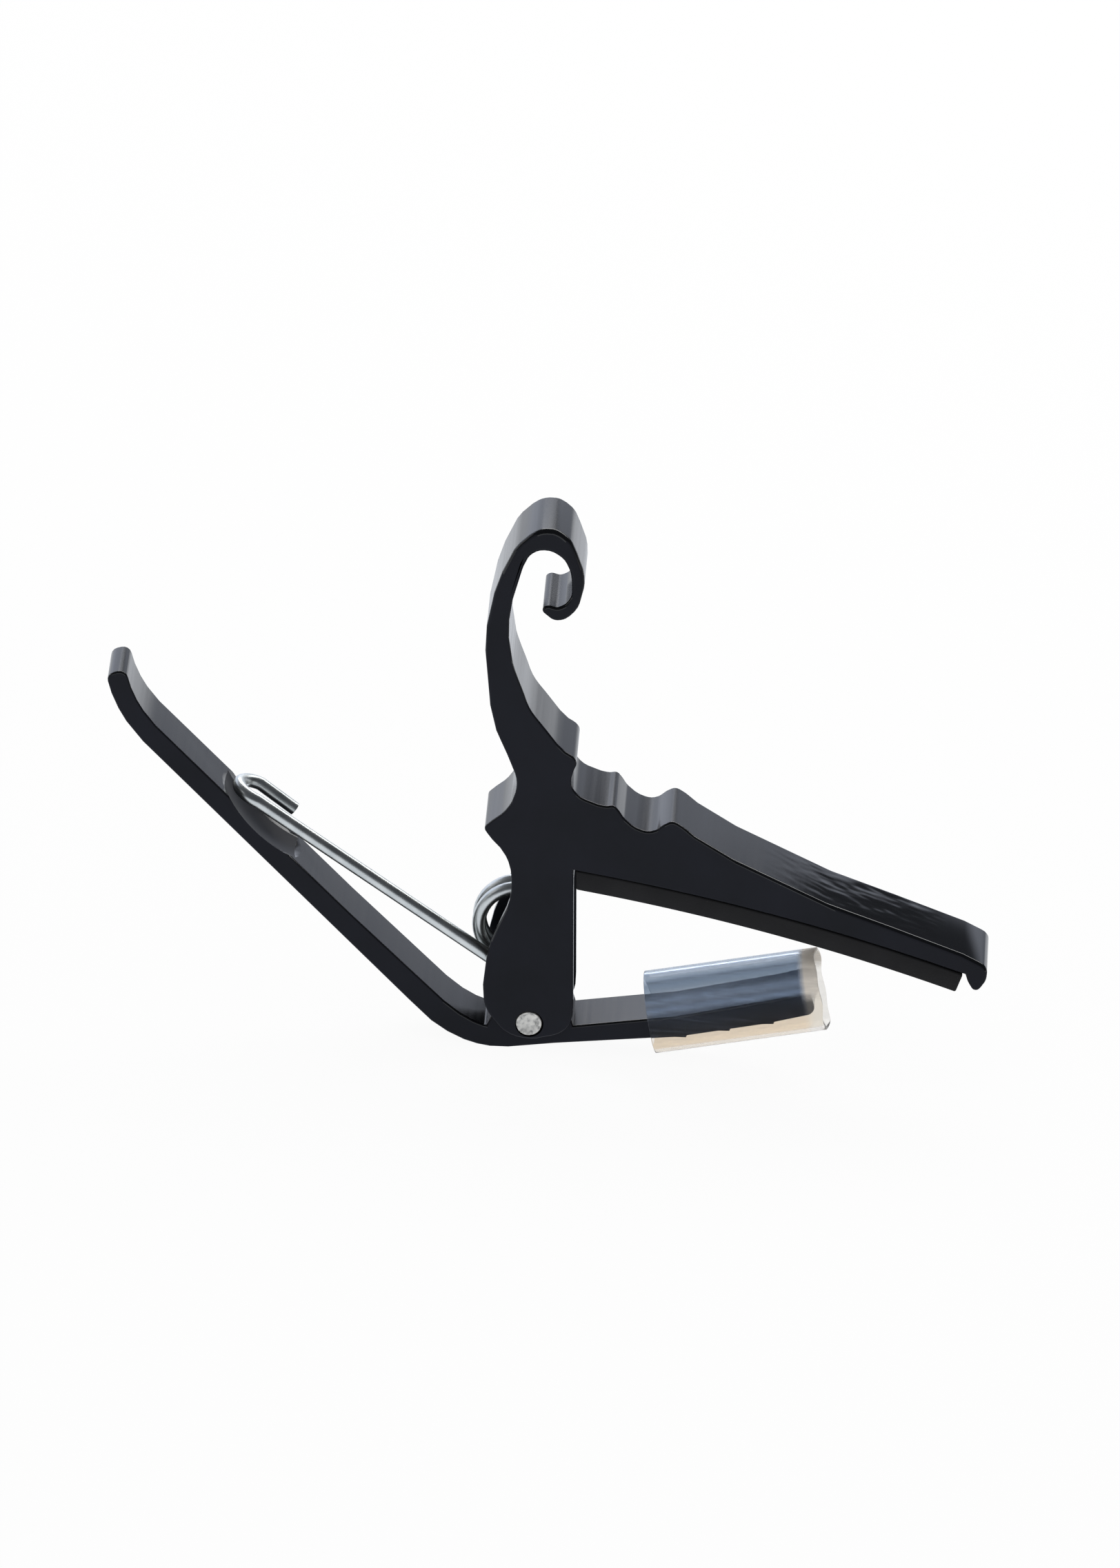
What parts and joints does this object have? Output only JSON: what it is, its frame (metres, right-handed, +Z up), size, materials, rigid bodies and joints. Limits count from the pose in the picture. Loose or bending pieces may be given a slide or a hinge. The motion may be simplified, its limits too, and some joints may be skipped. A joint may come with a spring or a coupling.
{
  "type": "guitar capo",
  "caption": "Sprung trigger capo: forked upper arm with a curled finger rest, rubber string pad, pivoting lever with a clear vinyl neck sleeve, and an external torsion spring.",
  "frame": {"origin": "middle of the bounding box on the level the capo stands on, which touches the lever's bend and the lower corner of the neck sleeve", "axes": "+X from the squeeze handle towards the clamping end, +Y through the capo's thickness away from the side pictured, +Z up"},
  "size_m": [0.1304, 0.0126, 0.0825],
  "materials": {
    "arm_coating": "gloss",
    "lever_coating": "gloss",
    "pad_rubber": "matte",
    "sleeve_vinyl": "gloss",
    "rivet_steel": "satin",
    "spring_steel": "gloss"
  },
  "bodies": {
    "upper_arm": {"upper_arm": "arm_coating", "string_pad": "pad_rubber", "pivot_rivet": "rivet_steel"},
    "lever": {"lever": "lever_coating", "neck_sleeve": "sleeve_vinyl"},
    "spring": {"torsion_spring": "spring_steel"}
  },
  "joints": [
    {"name": "lever_pivot", "type": "hinge", "parent": "upper_arm", "child": "lever", "pos_m": [-0.00003, 0, 0.0049], "axis": [0, 1, 0], "range_deg": [0, 38], "stiffness_Nm_per_rad": 0.9, "springref_deg": -34.38},
    {"name": "spring_wind", "type": "hinge", "parent": "upper_arm", "child": "spring", "pos_m": [-0.0027, 0, 0.0181], "axis": [0, 1, 0], "range_deg": [0, 52], "deforming": ["torsion_spring"]}
  ],
  "couplings": [
    {"joint": "spring_wind", "follows": "lever_pivot", "ratio": 1.305}
  ]
}
